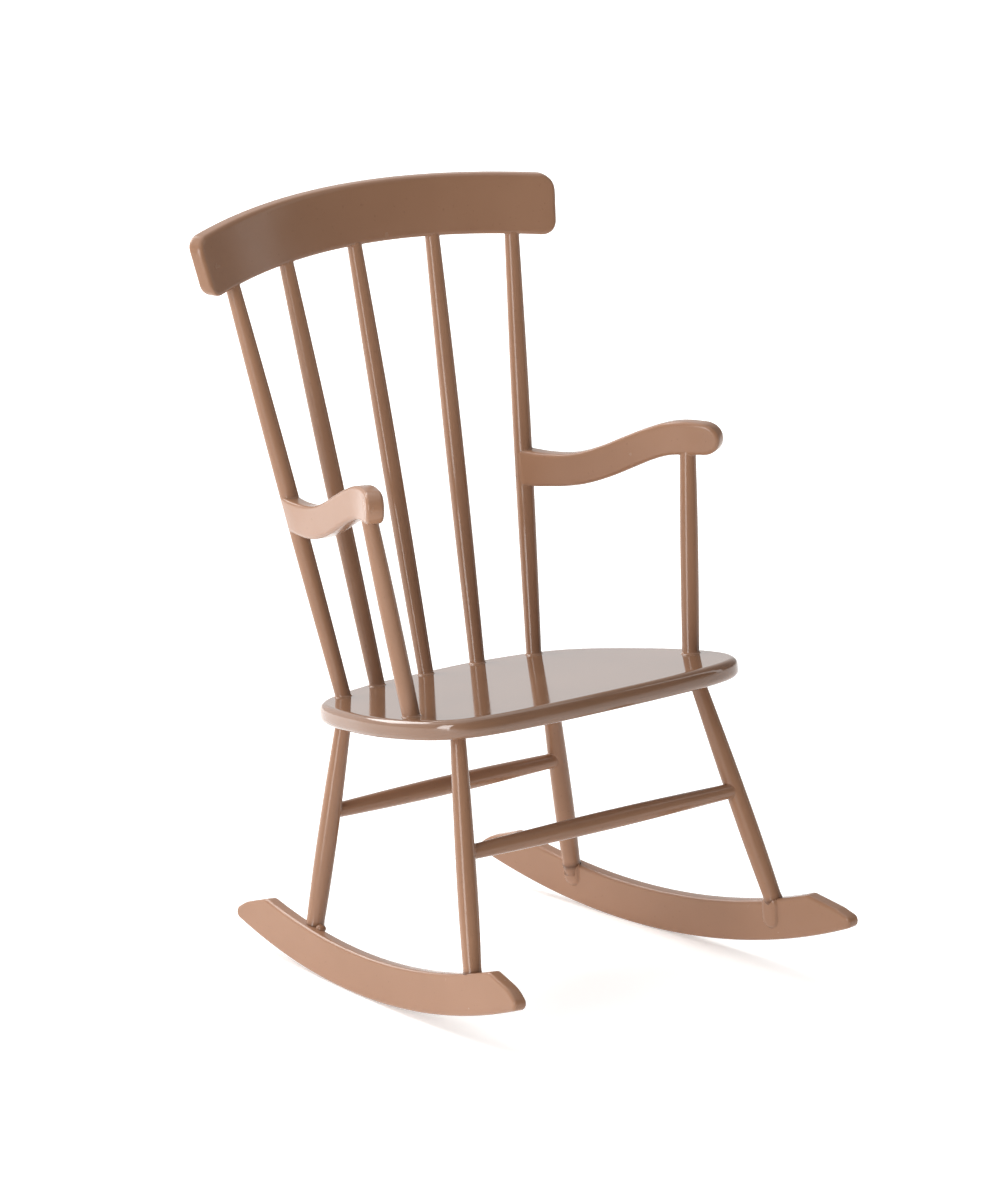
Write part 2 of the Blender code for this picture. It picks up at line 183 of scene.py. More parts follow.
# Colour of the darkest paint at the joints: pooling paint and painted shade in the crevices
POOLED_PAINT_AND_SHADE = (0.12, 0.055, 0.03, 1)
FLECK_PAINT = (0.2, 0.105, 0.064, 1)

FLOOR_HALF = 3.0
FLOOR_CELLS = 24
FLOOR_GLOW = 0.35

# The studio is bright behind the chair and a little to its right, and dark in front
WORLD_BRIGHT_SIDE = (-0.34, 0.94, 0.0)
WORLD_TONES = ((0.1, 0.08), (0.45, 0.3), (0.72, 0.85), (0.95, 1.1))
# Name, place, target, size and power of each area light
LIGHTS = (
    ("key_left", (-0.85, -0.2, 0.28), (0, 0, 0.05), (0.3, 0.7), 5.2),
    ("top", (-0.05, 0.3, 1.1), (0, 0.1, 0), (1.6, 1.6), 7.5),
    ("back_floor", (-0.1, 0.65, 0.5), (-0.05, 0.45, 0), (0.5, 0.5), 5),
    ("right_strip", (0.75, -0.35, 0.4), (0, 0, 0.06), (0.12, 0.8), 0.6),
)

CAMERA_AT = (-966.1 * MM, -1175.1 * MM, 479.3 * MM)
CAMERA_AZIMUTH = math.radians(-39.33)
CAMERA_ELEVATION = math.radians(15.41)
CAMERA_LENS = 359.4
CAMERA_SENSOR = 36


# ---------------------------------------------------------------- materials


class Graph:
    """Short hand for adding and linking shader nodes."""

    def __init__(self, tree):
        self.tree = tree

    def add(self, kind, **inputs):
        node = self.tree.nodes.new("ShaderNode" + kind)
        for key, value in inputs.items():
            self.put(node, key.replace("_", " "), value)
        return node

    def put(self, node, socket, value):
        target = node.inputs[int(socket)] if socket.isdigit() else node.inputs[socket]
        if isinstance(value, bpy.types.NodeSocket):
            self.tree.links.new(value, target)
        else:
            target.default_value = value


def math_node(graph, operation, a, b):
    node = graph.add("Math")
    node.operation = operation
    graph.put(node, "0", a)
    graph.put(node, "1", b)
    return node.outputs[0]


def ramp(graph, factor, stops):
    node = graph.add("ValToRGB", Fac=factor)
    elements = node.color_ramp.elements
    elements[0].position, elements[0].color = stops[0]
    elements[1].position, elements[1].color = stops[-1]
    for position, colour in stops[1:-1]:
        elements.new(position).color = colour
    return node.outputs["Color"]


def grey(value):
    return (value, value, value, 1)


def lacquer(name, tint, gloss, wave_strength, ior):
    """Dipped lacquer: slow colour drift, orange peel, dark flecks, and darker paint at the joints: partly
    paint pooling there, partly painted shade in their crevices.
    """
    mat = bpy.data.materials.new(name)
    mat.use_nodes = True
    graph = Graph(mat.node_tree)
    bsdf = mat.node_tree.nodes["Principled BSDF"]
    where = graph.add("TexCoord").outputs["Object"]
    drift = graph.add("TexNoise", Vector=where, Scale=45.0, Detail=3.0, Roughness=0.5).outputs["Fac"]
    base = ramp(graph, drift, [(at, (r * tint, g * tint, b * tint, 1)) for at, (r, g, b) in PAINT_TONES])
    pooling_and_shade = graph.add("Attribute")
    pooling_and_shade.attribute_name = "pooling_and_shade"
    # Darker paint at the joints: partly paint pooling, partly painted shade in the crevices
    shade = graph.add("MixRGB", Fac=pooling_and_shade.outputs["Fac"], Color1=base, Color2=POOLED_PAINT_AND_SHADE)
    speck = graph.add("TexNoise", Vector=where, Scale=1400.0, Detail=2.0, Roughness=0.6).outputs["Fac"]
    fleck = ramp(graph, speck, [(0.66, grey(0)), (0.74, grey(0.35))])
    flecked = graph.add("MixRGB", Fac=fleck, Color1=shade.outputs[0], Color2=FLECK_PAINT)
    graph.put(bsdf, "Base Color", flecked.outputs[0])
    smear = graph.add("TexNoise", Vector=where, Scale=260.0, Detail=4.0, Roughness=0.6).outputs["Fac"]
    rough = graph.add("MapRange", Value=smear)
    graph.put(rough, "From Min", 0.3)
    graph.put(rough, "From Max", 0.7)
    graph.put(rough, "To Min", gloss * 0.8)
    graph.put(rough, "To Max", gloss * 1.25)
    graph.put(bsdf, "Roughness", rough.outputs["Result"])
    wave = graph.add("TexNoise", Vector=where, Scale=170.0, Detail=1.0, Roughness=0.4).outputs["Fac"]
    peel = graph.add("TexNoise", Vector=where, Scale=1100.0, Detail=2.0, Roughness=0.5).outputs["Fac"]
    slow = graph.add("Bump", Strength=wave_strength, Distance=0.0003, Height=wave)
    fine = graph.add("Bump", Strength=0.05, Distance=0.00002, Height=peel, Normal=slow.outputs["Normal"])
    graph.put(bsdf, "Normal", fine.outputs["Normal"])
    bsdf.inputs["Metallic"].default_value = 0.0
    bsdf.inputs["IOR"].default_value = ior
    return mat


def floor_material():
    mat = bpy.data.materials.new("paper_sweep")
    mat.use_nodes = True
    graph = Graph(mat.node_tree)
    bsdf = mat.node_tree.nodes["Principled BSDF"]
    where = graph.add("TexCoord").outputs["Object"]
    tooth = graph.add("TexNoise", Vector=where, Scale=900.0, Detail=3.0).outputs["Fac"]
    tone = ramp(graph, tooth, [(0.35, (0.9, 0.9, 0.895, 1)), (0.65, (0.93, 0.93, 0.925, 1))])
    graph.put(bsdf, "Base Color", tone)
    bsdf.inputs["Roughness"].default_value = 0.9
    bsdf.inputs["Specular IOR Level"].default_value = 0.1
    bsdf.inputs["Emission Color"].default_value = (1, 1, 1, 1)
    bsdf.inputs["Emission Strength"].default_value = FLOOR_GLOW
    return mat


# ---------------------------------------------------------------- meshes


def new_object(name, verts, faces, pooling_and_shade=None):
    mesh = bpy.data.meshes.new(name)
    mesh.from_pydata([tuple(v) for v in verts], [], faces)
    # Per-point darkening at the joints: paint pooling and painted shade in the crevices
    if pooling_and_shade is not None:
        attribute = mesh.attributes.new("pooling_and_shade", "FLOAT", "POINT")
        attribute.data.foreach_set("value", np.array(pooling_and_shade, np.float32))
    bm = bmesh.new()
    bm.from_mesh(mesh)
    bmesh.ops.recalc_face_normals(bm, faces=bm.faces)
    bm.to_mesh(mesh)
    bm.free()
    mesh.shade_smooth()
    obj = bpy.data.objects.new(name, mesh)
    bpy.context.collection.objects.link(obj)
    return obj


def skin(rings, first=0):
    """Quads between successive closed rings, with an n-gon on the first and the last."""
    count = len(rings[0])
    verts = [p for ring in rings for p in ring]
    last = first + len(verts) - count
    faces = [tuple(range(first, first + count)), tuple(range(last, last + count))]
    for i in range(len(rings) - 1):
        low = first + i * count
        for j in range(count):
            k = (j + 1) % count
            faces.append((low + j, low + k, low + count + k, low + count + j))
    return verts, faces


def surface(obj):
    """Search tree over an object's surface in the row frame."""
    obj.data.update()
    verts = [obj.matrix_world @ v.co for v in obj.data.vertices]
    return BVHTree.FromPolygons(verts, [tuple(p.vertices) for p in obj.data.polygons])


def spline(points, per_span, closed=True):
    """Catmull-Rom curve through the points."""
    out = []
    n = len(points)
    spans = n if closed else n - 1
    for i in range(spans):
        if closed:
            picked = [points[(i + k) % n] for k in (-1, 0, 1, 2)]
        else:
            picked = [points[min(max(i + k, 0), n - 1)] for k in (-1, 0, 1, 2)]
        p0, p1, p2, p3 = (Vector(p) for p in picked)
        for step in range(per_span):
            t = step / per_span
            near = 2 * p1 + (p2 - p0) * t
            far = (2 * p0 - 5 * p1 + 4 * p2 - p3) * t * t + (3 * p1 - p0 - 3 * p2 + p3) * t ** 3
            out.append((near + far) / 2)
    if not closed:
        out.append(Vector(points[-1]))
    return out


def inset(outline, amount):
    out = []
    n = len(outline)
    for i, p in enumerate(outline):
        along = (outline[(i + 1) % n] - outline[i - 1]).normalized()
        out.append(p + Vector((-along.y, along.x)) * amount)
    return out


def slab(name, outline, thickness, edge, steps):
    """Plate with rounded edges, its top at local z = 0."""
    rings = [[(p.x, p.y, 0) for p in inset(outline, edge + FLAT_MARGIN)]]
    for i in range(steps + 1):
        a = math.radians(90 * i / steps)
        rim = inset(outline, edge * (1 - math.sin(a)))
        rings.append([(p.x, p.y, -edge * (1 - math.cos(a))) for p in rim])
    for i in range(steps + 1):
        a = math.radians(90 * i / steps)
        rim = inset(outline, edge * (1 - math.cos(a)))
        rings.append([(p.x, p.y, -thickness + edge * (1 - math.sin(a))) for p in rim])
    rings.append([(p.x, p.y, -thickness) for p in inset(outline, edge + FLAT_MARGIN)])
    return new_object(name, *skin(rings))


def plate(name, stations, edge, steps=6):
    """Rounded bar through stations, each a lower point, upper point, side direction and half thickness."""
    rings = []
    for low, high, side, half_t in stations:
        up = (high - low).normalized()
        half_h = (high - low).length / 2
        r = min(edge, half_h * 0.98, half_t * 0.98)
        centre = (low + high) / 2
        ring = []
        for sx, sz, first in ((1, 1, 0), (-1, 1, 90), (-1, -1, 180), (1, -1, 270)):
            for step in range(steps + 1):
                a = math.radians(first + 90 * step / steps)
                across = sx * (half_t - r) + r * math.cos(a)
                along = sz * (half_h - r) + r * math.sin(a)
                ring.append(centre + side * across + up * along)
        rings.append(ring)
    return new_object(name, *skin(rings))


def fit(obj, node):
    """Moves a piece so that its box is centred on the box of the CAD node it stands for."""
    low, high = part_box(node)
    co = np.array([obj.matrix_world @ v.co for v in obj.data.vertices])
    mine_low, mine_high = Vector(co.min(0)), Vector(co.max(0))
    shift = (low + high) / 2 - (mine_low + mine_high) / 2
    obj.matrix_world = Matrix.Translation(shift) @ obj.matrix_world
    bpy.context.view_layer.update()
    return obj


# ---------------------------------------------------------------- rods


def axis_of(node):
    """Both ends of a rod's centre line, lowest first, or from the sitter's right for a level rod."""
    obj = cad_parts[node]
    co = np.array([v.co for v in obj.data.vertices])
    low, high = co.min(0), co.max(0)
    middle = (low + high) / 2
    centred = co - middle
    direction = np.linalg.svd(centred, full_matrices=False)[2][0]
    lead = direction[2] if abs(direction[2]) > 0.5 else direction[0]
    direction = direction if lead > 0 else -direction
    reach = centred @ direction
    foot, head = (co[np.abs(reach - edge) < 0.02 * MM].mean(0) for edge in (reach.min(), reach.max()))
    return Vector(foot), Vector(head)


def circle(centre, axis, radius):
    across = axis.orthogonal().normalized()
    other = axis.cross(across)
    angles = [2 * math.pi * k / TURN for k in range(TURN)]
    return [centre + (across * math.cos(a) + other * math.sin(a)) * radius for a in angles]


def swell(t, radii, mid=0.5):
    start, middle, end = radii
    near = t / mid if t < mid else (1 - t) / (1 - mid)
    base = start if t < mid else end
    return base + (middle - base) * math.sin(min(max(near, 0), 1) * math.pi / 2)


def meet(tree, origin, direction, reach):
    """Where a line along the rod's skin meets its neighbour: the point, and the normal facing the rod."""
    hit, normal, _, _ = tree.ray_cast(origin, direction, reach)
    if hit is None:
        return None
    return hit, normal if normal.dot(direction) < 0 else -normal


def steady(levels, edge):
    """Levels round a rod's end, with misses filled and strays brought back to a saddle through the rest."""
    known = [z for z in levels if z is not None]
    if not known:
        return [edge] * len(levels)
    angles = np.arange(len(levels)) * 2 * math.pi / len(levels)
    once = [np.cos(angles), np.sin(angles)]
    twice = [np.cos(2 * angles), np.sin(2 * angles)]
    basis = np.stack([np.ones_like(angles)] + once + twice, 1)
    middle = float(np.median(known))
    values = np.array([middle if z is None else z for z in levels])
    good = np.array([z is not None for z in levels]) & (np.abs(values - middle) < LEVEL_STRAY)
    for _ in range(3):
        weights = np.linalg.lstsq(basis[good], values[good], rcond=None)[0]
        smooth = basis @ weights
        good = good & (np.abs(values - smooth) < LEVEL_OUTLIER)
    return [float(z) for z in np.clip(values, smooth - LEVEL_SLACK, smooth + LEVEL_SLACK)]


def rod_rings(foot, head, radii, foot_on=None, head_on=None, fillet=FILLET, mid=0.5, steps=28, span=(0, 1),
              head_fillet=None):
    """Rings of a swelling rod. Where an end meets a surface, paint runs out onto it in a concave fillet."""
    axis = (head - foot).normalized()
    length = (head - foot).length
    across = axis.orthogonal().normalized()
    other = axis.cross(across)
    lines = []
    for k in range(TURN):
        a = 2 * math.pi * k / TURN
        lines.append(across * math.cos(a) + other * math.sin(a))

    def radius(z):
        t = span[0] + (span[1] - span[0]) * z / length
        return swell(t, radii, mid)

    ends = []
    for tree, sign, edge in ((foot_on, -1, 0.0), (head_on, 1, length)):
        found = []
        for out in lines:
            r = radius(edge)
            if tree is None:
                found.append(None)
                continue
            origin = foot + axis * (length / 2) + out * r
            found.append(meet(tree, origin, axis * sign, length))
        levels = steady([(f[0] - foot).dot(axis) if f else None for f in found], edge)
        ends.append((found, levels, tree, sign))
    rings, pooling_and_shade = [], []
    sizes = (fillet, head_fillet or fillet)
    low = [z + (sizes[0] if foot_on else 0) for z in ends[0][1]]
    high = [z - (sizes[1] if head_on else 0) for z in ends[1][1]]

    def skirt(index):
        found, levels, tree, sign = ends[index]
        body = low if index == 0 else high
        loops, marks = [], []
        for step in range(1, FILLET_STEPS + 1):
            t = step / FILLET_STEPS
            loop = []
            for k, out in enumerate(lines):
                top = foot + axis * body[k] + out * radius(body[k])
                corner = foot + axis * levels[k] + out * radius(levels[k])
                normal = found[k][1] if found[k] else axis * -sign
                tangent = out - normal * out.dot(normal)
                tangent = tangent.normalized() if tangent.length > 1e-6 else out
                landing = corner + tangent * sizes[index]
                near, near_normal, _, _ = tree.find_nearest(landing)
                if near is not None:
                    outward = near_normal if near_normal.dot(normal) > -0.2 else -near_normal
                    landing = near - outward * SUNK
                loop.append(top * (1 - t) ** 2 + corner * 2 * t * (1 - t) + landing * t * t)
            loops.append(loop)
            # Darker towards the neighbour: paint pooling and painted shade in the crevice
            marks.append(FILLET_POOLING_AND_SHADE * t ** 3)
        deep = []
        for k, p in enumerate(loops[-1]):
            inward = (foot + axis * levels[k] - p) * FILLET_ROOT_SHARE
            deep.append(p + axis * sign * FILLET_ROOT_DEPTH + inward)
        loops.append(deep)
        marks.append(FILLET_POOLING_AND_SHADE)
        return loops, marks

    if foot_on:
        loops, marks = skirt(0)
        rings += loops[::-1]
        pooling_and_shade += marks[::-1]
    for i in range(steps + 1):
        t = i / steps
        ring = []
        for k, out in enumerate(lines):
            z = low[k] + (high[k] - low[k]) * t
            ring.append(foot + axis * z + out * radius(z))
        rings.append(ring)
        pooling_and_shade.append(0.0)
    if head_on:
        loops, marks = skirt(1)
        rings += loops
        pooling_and_shade += marks
    return rings, pooling_and_shade


def rod(name, parts):
    """One object from one or more runs of rings."""
    verts, faces, pooling_and_shade = [], [], []
    for rings, marks in parts:
        run_verts, run_faces = skin(rings, len(verts))
        verts += run_verts
        faces += run_faces
        for mark in marks:
            pooling_and_shade += [mark] * len(rings[0])
    return new_object(name, verts, faces, pooling_and_shade)


# ---------------------------------------------------------------- the chair's pieces


def build_seat():
    half = [Vector(p) * MM for p in SEAT_OUTLINE]
    mirrored = [Vector((-p.x, p.y)) for p in reversed(half[1:-1])]
    obj = slab("seat_plate", spline(half + mirrored, 16), SEAT_T, SEAT_ROUND, 10)
    obj.rotation_euler = (-SEAT_TILT, 0, 0)
    bpy.context.view_layer.update()
    return fit(obj, "seat")


def crest_point(x, rise):
    y = -x * x / (2 * CREST_R) + rise * math.sin(CREST_LEAN)
    z = -CREST_ARCH * x * x + rise * math.cos(CREST_LEAN)
    return Vector((x * (1 + CREST_FAN * (rise - CREST_H / 2)), y, z))


def build_crest():
    straight = CREST_HALF - CREST_CORNER
    inner = [straight * k / 40 for k in range(-40, 41)]
    corner = [straight + CREST_CORNER * math.sin(math.radians(a)) for a in range(6, 91, 6)]
    stations = []
    for x in [-c for c in reversed(corner)] + inner + corner:
        over = max(abs(x) - straight, 0)
        drop = CREST_CORNER - math.sqrt(max(CREST_CORNER ** 2 - over ** 2, 0))
        near_end = max(abs(x) - (CREST_HALF - CREST_EDGE), 0)
        thin = CREST_EDGE - math.sqrt(max(CREST_EDGE ** 2 - near_end ** 2, 0))
        side = Vector((x / CREST_R, 1, 0)).normalized()
        half_t = CREST_T / 2 - thin * CREST_THINNING
        stations.append((crest_point(x, drop), crest_point(x, CREST_H - drop), side, half_t))
    return fit(plate("crest_board", stations, CREST_EDGE), "crest_rail")


def arm_point(sign, ahead, height):
    """Point in the arm's middle plane, which leans with the back post at the arm's back end."""
    over = max(ahead - ARM_CURL_START, 0) / (ARM_LENGTH - ARM_CURL_START)
    curl = ARM_CURL * over ** 2 + POST_LEAN * (height - ARM_MID_Z) * fade(ahead)
    x = ARM_BACK[0] + ahead * math.sin(ARM_FLARE) + curl * math.cos(ARM_FLARE)
    y = ARM_BACK[1] + ORIGIN_Y - ahead * math.cos(ARM_FLARE) + curl * math.sin(ARM_FLARE)
    return Vector((sign * x, y, height))


def fade(ahead):
    """One at the post, easing to nothing a short way along the arm."""
    t = min(max(1 - ahead / POST_FADE, 0), 1)
    return t * t * (3 - 2 * t)


def post_ahead(height):
    """How far ahead of the arm's reference the leaning post's centre line is at a height."""
    return (height - ARM_MID_Z) * POST_RAKE


def heel(height_low, height_high, steps=6):
    """Lower and upper points of the arm's back end, which follows the post and has small round corners."""
    r = ARM_HEEL_CORNER
    pairs = []
    for step in range(steps + 1):
        a = math.radians(90 * step / steps)
        rise = r * (1 - math.sin(a))
        out = r * (1 - math.cos(a))
        points = []
        for edge, sign in ((height_low, 1), (height_high, -1)):
            height = edge + sign * rise
            points.append(Vector((post_ahead(height) - ARM_HEEL_R + out, height)))
        pairs.append(points)
    return pairs


def arm_pairs():
    """Matching lower and upper points of the arm's side outline, from its heel to its nose."""
    low = spline([e[0] for e in ARM_EDGES], 5, closed=False)
    high = spline([e[1] for e in ARM_EDGES], 5, closed=False)
    body = [(a * MM, b * MM) for a, b in zip(low, high)]
    for step in range(1, 13):
        a = math.radians(90 * step / 12)
        ahead = ARM_NOSE_FROM + ARM_NOSE[0] * math.sin(a)
        half = ARM_NOSE[1] * max(math.cos(a), 0.05) ** 0.92
        body.append((Vector((ahead, ARM_NOSE_Z - half)) * MM, Vector((ahead, ARM_NOSE_Z + half)) * MM))
    return heel(body[0][0].y, body[0][1].y) + body


def arm_half(ahead, height):
    """Half thickness: a little fuller round the post, where the heel follows a half circle."""
    d = ahead - post_ahead(height)
    if d < 0:
        return ARM_HEEL_HALF * math.sqrt(max(1 - (d / ARM_HEEL_R) ** 2, 0.004))
    near = max(1 - d / HEEL_FADE, 0)
    return ARM_T / 2 + (ARM_HEEL_HALF - ARM_T / 2) * near * near * (3 - 2 * near)


def build_arm(label, sign, steps=6):
    pairs = arm_pairs()
    outline = [low for low, _ in pairs] + [high for _, high in reversed(pairs)]
    count = len(outline)
    rows = [(ARM_EDGE + FLAT_MARGIN, 0.0)]
    for i in range(steps + 1):
        degrees = 90 * i / steps
        rows.append((ARM_EDGE * (1 - math.sin(math.radians(degrees))), degrees))
    rings = []
    for face, order in ((1, rows), (-1, rows[::-1])):
        for amount, degrees in order:
            share = 1 - ARM_EDGE / (ARM_T / 2) * (1 - math.cos(math.radians(degrees)))
            ring = []
            for p in inset(outline, amount):
                at = arm_point(sign, p.x, p.y)
                nearer_nose = arm_point(sign, p.x + ARM_STEP, ARM_MID_Z)
                along = nearer_nose - arm_point(sign, p.x - ARM_STEP, ARM_MID_Z)
                side = Vector((-along.y, along.x, 0)).normalized()
                ring.append(at + side * face * share * arm_half(p.x, p.y))
            rings.append(ring)
    verts, faces = skin(rings)
    faces = faces[2:]
    last = len(verts) - count
    for first in (0, last):
        for i in range(count // 2 - 1):
            faces.append((first + i, first + i + 1, first + count - 2 - i, first + count - 1 - i))
    return new_object("arm_" + label + "_plate", verts, faces)


def rocker_point(degrees, height):
    """Point of the rocker's outline: x forwards and y up, the height measured in from its lower edge."""
    a = math.radians(-degrees)
    radius = ROCKER_R - height
    return Vector((radius * math.sin(a), ROCKER_R - radius * math.cos(a)))


def rounded(corner, before, after, radius, steps=8):
    """Points of the arc that rounds off a corner of an outline."""
    a = (before - corner).normalized()
    b = (after - corner).normalized()
    half = math.acos(max(-1, min(1, a.dot(b)))) / 2
    centre = corner + (a + b).normalized() * radius / math.sin(half)
    start = corner + a * radius / math.tan(half)
    end = corner + b * radius / math.tan(half)
    out = []
    for i in range(steps + 1):
        spoke = (start - centre).lerp(end - centre, i / steps)
        out.append(centre + spoke.normalized() * radius)
    return out


def rocker_arc(start, end, height, clear, step=0.6):
    """Points along the rocker's arc between two corners, stopping short of both by the clear angle."""
    low, high = sorted((start, end))
    reach = high - low - 2 * clear
    count = int(reach / step)
    out = [rocker_point(low + clear + reach * i / count, height) for i in range(count + 1)]
    return out if start < end else out[::-1]


def rocker_matrix(sign):
    """Places a rocker's outline: splayed, leaning, and facing the sitter's right."""
    axes = Matrix(((0, 0, -1), (-1, 0, 0), (0, 1, 0))).to_4x4()
    lean = Matrix.Rotation(-sign * ROCKER_LEAN, 4, "Y")
    toe = Matrix.Rotation(sign * ROCKER_TOE, 4, "Z")
    return Matrix.Translation((sign * ROCKER_X, ORIGIN_Y, 0)) @ toe @ lean @ axes


def build_rocker(label, sign):
    front, back = ROCKER_ENDS[label]
    lower = rocker_arc(back[2], front[2], 0, ROCKER_CLEAR_BELOW)
    upper = rocker_arc(front[0], back[0], ROCKER_H, ROCKER_CLEAR_ABOVE)
    corners = []
    for angles in (front, back):
        corners.append([rocker_point(a, h) for a, h in zip(angles, (ROCKER_H, ROCKER_CUT_H, 0))])
    (f_top, f_mid, f_low), (b_top, b_mid, b_low) = corners
    outline = list(lower)
    outline += rounded(f_low, lower[-1], f_mid, ROCKER_TIP_R)
    outline += rounded(f_mid, f_low, f_top, ROCKER_NOSE_R)
    outline += rounded(f_top, f_mid, upper[0], ROCKER_FRONT_TOP_R)
    outline += upper
    outline += rounded(b_top, upper[-1], b_mid, ROCKER_BACK_TOP_R)
    outline += rounded(b_mid, b_top, b_low, ROCKER_NOSE_R)
    outline += rounded(b_low, b_mid, lower[0], ROCKER_TIP_R)
    obj = slab("rocker_" + label + "_runner", outline, ROCKER_T, ROCKER_EDGE, 6)
    obj.matrix_world = rocker_matrix(sign) @ Matrix.Translation((0, 0, ROCKER_T / 2))
    bpy.context.view_layer.update()
    return fit(obj, "rocker_" + label)


def foot_pad(foot, head, place, sign):
    """Rings of the paint-covered pad where the leg laps the rocker's inner face, round at the bottom."""
    outward = rocker_matrix(sign)
    into = outward.inverted()
    low, high = into @ foot, into @ head
    arc = ROCKER_R - ROCKER_H
    top = Vector((low.x, low.y))
    for _ in range(6):
        edge = ROCKER_R - math.sqrt(arc ** 2 - top.x ** 2)
        share = (edge - low.y) / (high.y - low.y)
        top = Vector((low.x + (high.x - low.x) * share, edge))
    bottom = top - Vector((0, PAD_DEPTH[place]))
    face = sign * ROCKER_T / 2
    rings = []
    for scale, height in PAD_PROFILE:
        ring = []
        for k in range(TURN):
            a = 2 * math.pi * k / TURN
            centre = bottom if math.sin(a) < 0 else top - Vector((0, PAD_TOP_DROP))
            p = centre + Vector((math.cos(a), math.sin(a))) * PAD_R * scale
            ring.append(outward @ Vector((p.x, p.y, face + sign * height * PAD_H)))
        rings.append(ring)
    return rings, outward @ Vector((top.x, top.y, face))


def bead(centre, radius, flat):
    """Rings of a small round lump of paint."""
    rings = []
    for i in range(1, 12):
        a = math.pi * i / 12
        ring = []
        for k in range(TURN):
            b = 2 * math.pi * k / TURN
            out = Vector((math.sin(a) * math.cos(b), math.sin(a) * math.sin(b), -math.cos(a) * flat))
            ring.append(centre + out * radius)
        rings.append(ring)
    return rings


def build_leg(node, seat_tree, place, sign):
    """Leg that runs down past the rocker's upper edge, with a collar of paint there and a pad below it."""
    foot, head = axis_of(node)
    axis = (head - foot).normalized()
    rings, pooling_and_shade = rod_rings(foot, head, LEG_RADII, None, seat_tree, LEG_FILLET, LEG_MID, 30)
    start, marks = [], []
    for z, flare, mark in LEG_COLLAR:
        radius = swell(z * MM / (head - foot).length, LEG_RADII, LEG_MID) + flare * MM
        start.append(circle(foot + axis * z * MM, axis, radius))
        marks.append(mark)
    for ring, mark in zip(rings, pooling_and_shade):
        if (sum(ring, Vector()) / TURN - foot).dot(axis) > LEG_BODY_FROM:
            start.append(ring)
            marks.append(mark)
    pad, crossing = foot_pad(foot, head, place, sign)
    parts = [(start, marks), (pad, [0.0] * len(pad))]
    if node == BEAD_NODE:
        lump = bead(crossing + Vector(BEAD_OFFSET) * MM, BEAD_R, BEAD_FLAT)
        parts.append((lump, [BEAD_DARKENING] * len(lump)))
    return rod(node + "_rod", parts)


def build_back_rod(node, seat_tree, crest_tree):
    foot, head = axis_of(node)
    run = rod_rings(foot, head, BACK_RADII, seat_tree, crest_tree, FILLET, head_fillet=CREST_FILLET)
    return rod(node + "_rod", [run])


def build_outer_post(label, seat_tree, crest_tree, arm_tree):
    """Back post in two runs, below and above the arm that it passes, with a core joining them inside it."""
    node = "back_post_" + label
    foot, head = axis_of(node)
    low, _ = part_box("arm_" + label)
    middle = low.z + CORE_RISE
    t = (middle - foot.z) / (head.z - foot.z)
    pass_point = foot.lerp(head, t)
    lower = rod_rings(foot, pass_point, BACK_RADII, seat_tree, arm_tree, span=(0, t), head_fillet=ARM_FILLET)
    upper = rod_rings(
        pass_point, head, BACK_RADII, arm_tree, crest_tree, ARM_FILLET, span=(t, 1), head_fillet=CREST_FILLET
    )
    axis = (head - foot).normalized()
    core = []
    for z in np.linspace(middle - CORE_HALF, middle + CORE_HALF, CORE_RINGS):
        along = (z - foot.z) / (head.z - foot.z)
        core.append(circle(foot.lerp(head, along), axis, swell(along, BACK_RADII) - CORE_SLACK))
    return rod(node + "_rod", [lower, upper, (core, [0.0] * len(core))])


def build_chair():
    pieces = {}
    pieces["seat"] = build_seat()
    pieces["crest_rail"] = build_crest()
    seat_tree, crest_tree = surface(pieces["seat"]), surface(pieces["crest_rail"])
    for label, sign in SIDES:
        pieces["arm_" + label] = build_arm(label, sign)
        pieces["rocker_" + label] = build_rocker(label, sign)
        arm_tree = surface(pieces["arm_" + label])
        pieces["back_post_" + label] = build_outer_post(label, seat_tree, crest_tree, arm_tree)
        pieces["back_spindle_" + label] = build_back_rod("back_spindle_" + label, seat_tree, crest_tree)
        foot, head = axis_of("arm_post_" + label)
        rings = rod_rings(foot, head, ARM_POST_RADII, seat_tree, arm_tree, head_fillet=ARM_FILLET)
        pieces["arm_post_" + label] = rod("arm_post_" + label + "_rod", [rings])
        for place in ("front", "rear"):
            node = f"leg_{place}_{label}"
            pieces[node] = build_leg(node, seat_tree, place, sign)
    pieces["back_spindle_centre"] = build_back_rod("back_spindle_centre", seat_tree, crest_tree)
    for place in ("front", "rear"):
        node = "stretcher_" + place
        foot, head = axis_of(node)
        trees = [surface(pieces[f"leg_{place}_{label}"]) for label in ("right", "left")]
        rings = rod_rings(foot, head, STRETCHER_RADII, trees[0], trees[1], STRETCHER_FILLET)
        pieces[node] = rod(node + "_rod", [rings])
    return pieces


def dress(pieces):
    """Gives each piece its lacquer, ties it to the body, and hides the CAD node that it stands for."""
    plates = lacquer(*PLATE_LACQUER)
    rods = lacquer(*ROD_LACQUER)
    seat = lacquer(*SHADED_SEAT_LACQUER)
    for node, obj in pieces.items():
        flat = node.startswith(("arm_left", "arm_right", "crest", "rocker"))
        obj.data.materials.append(seat if node == "seat" else plates if flat else rods)
        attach(obj, BODY)
        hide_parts(node)


# ---------------------------------------------------------------- stage


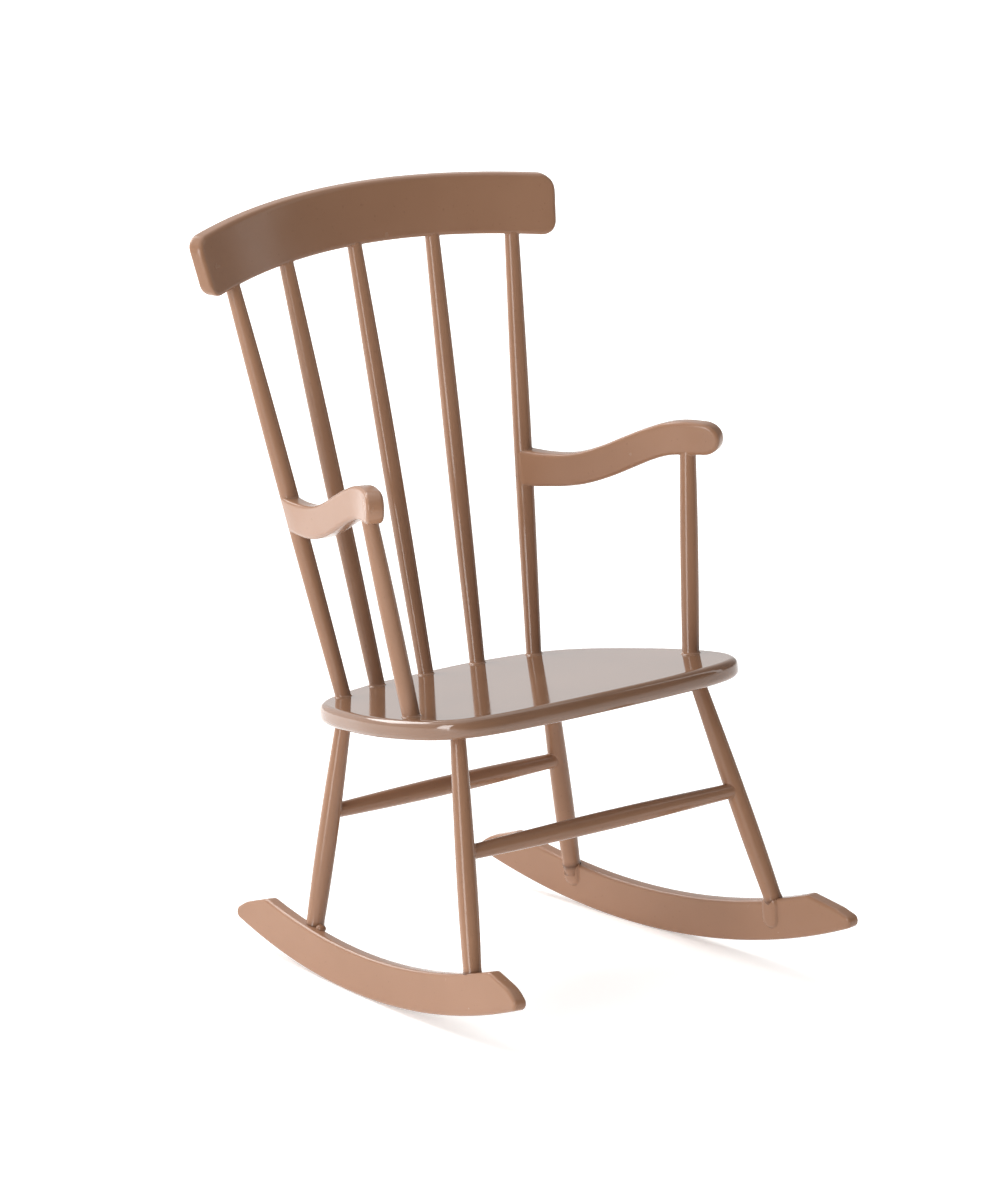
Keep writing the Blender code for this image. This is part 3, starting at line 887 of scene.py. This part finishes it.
def build_floor():
    count = FLOOR_CELLS
    size = FLOOR_HALF
    verts, faces = [], []
    for j in range(count + 1):
        for i in range(count + 1):
            verts.append((size * (2 * i / count - 1), size * (2 * j / count - 1), 0))
    for j in range(count):
        for i in range(count):
            low = j * (count + 1) + i
            faces.append((low, low + 1, low + count + 2, low + count + 1))
    obj = new_object("studio_floor", verts, faces)
    obj.data.materials.append(floor_material())


def area_light(name, at, target, size, power):
    data = bpy.data.lights.new(name, "AREA")
    data.shape = "RECTANGLE"
    data.size, data.size_y = size
    data.energy = power
    obj = bpy.data.objects.new(name, data)
    obj.location = at
    obj.rotation_euler = (Vector(target) - Vector(at)).to_track_quat("-Z", "Y").to_euler()
    bpy.context.collection.objects.link(obj)


def build_world():
    world = bpy.data.worlds.new("studio")
    bpy.context.scene.world = world
    world.use_nodes = True
    graph = Graph(world.node_tree)
    where = graph.add("TexCoord").outputs["Generated"]
    behind = graph.add("VectorMath", **{"0": where, "1": WORLD_BRIGHT_SIDE})
    behind.operation = "DOT_PRODUCT"
    side = math_node(graph, "MULTIPLY_ADD", behind.outputs["Value"], 0.5)
    graph.put(side.node, "2", 0.5)
    tone = ramp(graph, side, [(at, grey(value)) for at, value in WORLD_TONES])
    node = world.node_tree.nodes["Background"]
    graph.put(node, "Color", tone)
    graph.put(node, "Strength", 1.0)


def build_lights():
    for light in LIGHTS:
        area_light(*light)


def build_camera():
    data = bpy.data.cameras.new("camera")
    data.sensor_fit = "HORIZONTAL"
    data.sensor_width = CAMERA_SENSOR
    data.lens = CAMERA_LENS
    data.clip_end = 20
    obj = bpy.data.objects.new("camera", data)
    obj.location = CAMERA_AT
    obj.rotation_euler = (math.pi / 2 - CAMERA_ELEVATION, 0, CAMERA_AZIMUTH)
    bpy.context.collection.objects.link(obj)
    bpy.context.scene.camera = obj


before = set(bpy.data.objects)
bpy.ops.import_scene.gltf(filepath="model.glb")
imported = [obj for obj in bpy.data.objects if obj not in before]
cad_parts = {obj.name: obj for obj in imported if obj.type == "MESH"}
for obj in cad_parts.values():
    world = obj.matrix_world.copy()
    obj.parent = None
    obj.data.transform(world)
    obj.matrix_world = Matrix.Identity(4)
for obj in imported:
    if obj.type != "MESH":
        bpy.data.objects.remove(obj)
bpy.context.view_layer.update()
dress(build_chair())
build_floor()
build_world()
build_lights()
build_camera()
bpy.context.scene.view_settings.view_transform = "Standard"
